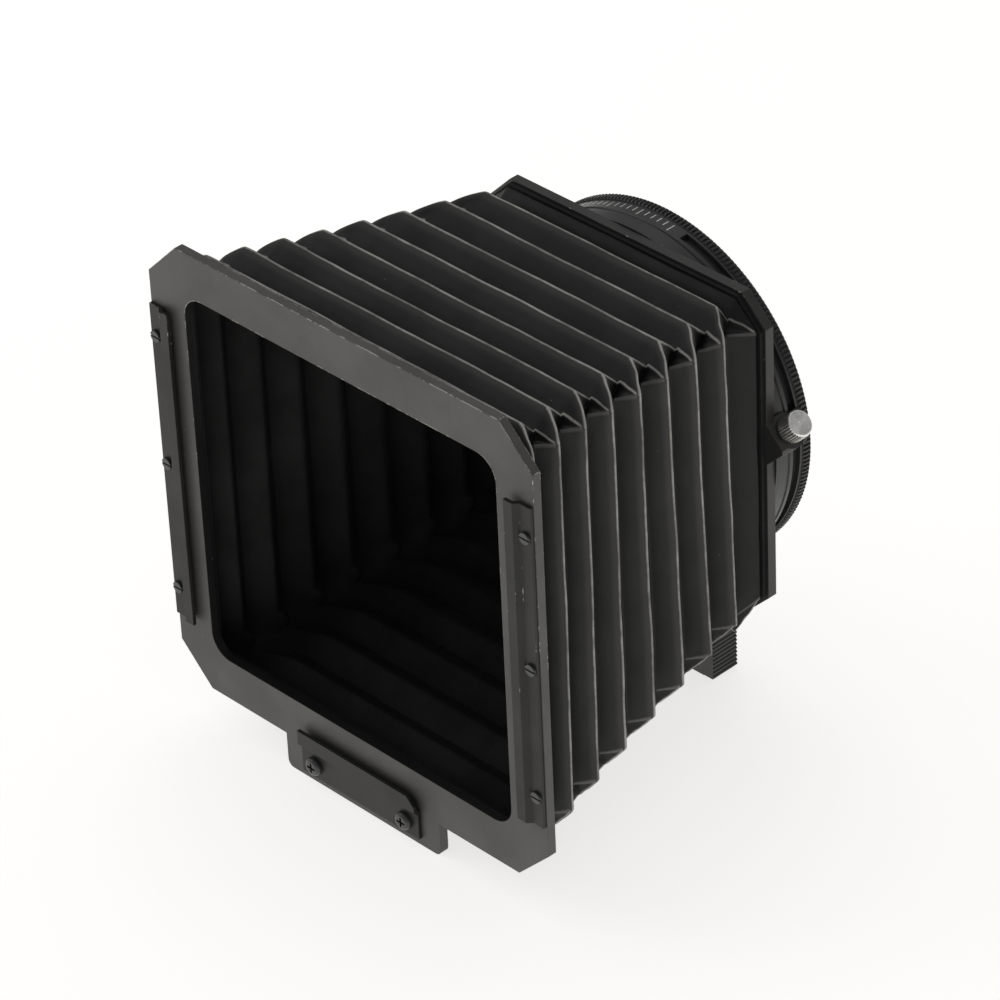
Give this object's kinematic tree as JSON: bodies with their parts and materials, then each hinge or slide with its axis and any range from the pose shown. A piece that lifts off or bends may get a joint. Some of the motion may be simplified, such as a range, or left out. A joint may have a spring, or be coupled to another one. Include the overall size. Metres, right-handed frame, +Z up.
{
  "type": "bellows lens shade",
  "caption": "Square bellows lens shade with mask rails in front, a sliding rail underneath and a turning bayonet ring that clamps with a small knob.",
  "frame": {"origin": "on the optical axis, at the mouth of the lens socket in the mount ring's rear face", "axes": "+Y from the front plate back towards the lens, +Z up, +X to the side with the clamp knob"},
  "size_m": [0.105, 0.0912, 0.113],
  "materials": {
    "front_paint": "satin dark grey paint, worn bright along the edges",
    "rail_paint": "satin black paint on sheet steel",
    "screw_black": "blackened steel",
    "cloth": "coated black cloth, folds rubbed pale",
    "rear_paint": "satin black paint",
    "black_anodised": "black anodised, turned",
    "frame_paint": "matt black",
    "rail_steel": "brushed along its length",
    "bright_steel": "turned",
    "bare_aluminium": "turned, straight knurl",
    "brass": "turned",
    "button_plastic": "black, moulded ribs",
    "spring_steel": "drawn wire"
  },
  "bodies": {
    "rear_standard": {"rear_plate": "rear_paint", "bellows_frame_rear": "frame_paint", "rear_frame_screws": "screw_black", "neck_collar": "black_anodised", "collar_screws": "screw_black", "stop_pin": "bright_steel", "guide_block": "rear_paint", "guide_block_screws": "screw_black", "button_spring_right": "spring_steel", "button_spring_left": "spring_steel", "bellows": "cloth"},
    "front_standard": {"front_plate": "front_paint", "mask_rail_right": "rail_paint", "mask_rail_left": "rail_paint", "mask_rail_bottom": "rail_paint", "mask_rail_screws_right": "screw_black", "mask_rail_screws_left": "screw_black", "mask_rail_screws_bottom": "screw_black", "bellows_frame_front": "frame_paint", "slide_rail": "rail_steel", "rail_stop": "rail_steel", "rail_stop_screw": "screw_black"},
    "mount_ring": {"mount_ring": "black_anodised", "bayonet_ring": "bright_steel", "bayonet_screws": "bright_steel", "retaining_ring": "black_anodised", "retaining_ring_screws": "screw_black"},
    "clamp_pad": {"clamp_pad": "brass"},
    "clamp_screw": {"clamp_screw": "bright_steel", "clamp_knob": "bare_aluminium"},
    "button_right": {"button_right": "button_plastic", "brake_arm_right": "bright_steel"},
    "button_left": {"button_left": "button_plastic", "brake_arm_left": "bright_steel"}
  },
  "joints": [
    {"name": "front_slide", "type": "slide", "parent": "rear_standard", "child": "front_standard", "axis": [0, 1, 0], "range_m": [0, 0.048], "deforming": ["bellows"]},
    {"name": "mount_turn", "type": "hinge", "parent": "rear_standard", "child": "mount_ring", "pos_m": [0, 0, 0], "axis": [0, 1, 0], "range_deg": [-67, 67]},
    {"name": "clamp_advance", "type": "slide", "parent": "rear_standard", "child": "clamp_pad", "axis": [0.7071, 0, 0.7071], "range_m": [-0.0002, 0.0003]},
    {"name": "clamp_turn", "type": "hinge", "parent": "clamp_pad", "child": "clamp_screw", "pos_m": [0.03993, -0.0077, 0.00758], "axis": [0.7071, 0, 0.7071], "range_deg": [-145, 217]},
    {"name": "right_button", "type": "slide", "parent": "rear_standard", "child": "button_right", "axis": [-1, 0, 0], "range_m": [0, 0.0008], "stiffness_N_per_m": 500, "springref_m": -0.001, "deforming": ["button_spring_right"]},
    {"name": "left_button", "type": "slide", "parent": "rear_standard", "child": "button_left", "axis": [1, 0, 0], "range_m": [0, 0.0008], "stiffness_N_per_m": 500, "springref_m": -0.001, "deforming": ["button_spring_left"]}
  ],
  "couplings": [
    {"joint": "clamp_turn", "follows": "clamp_advance", "rad_per_m": 12566}
  ]
}
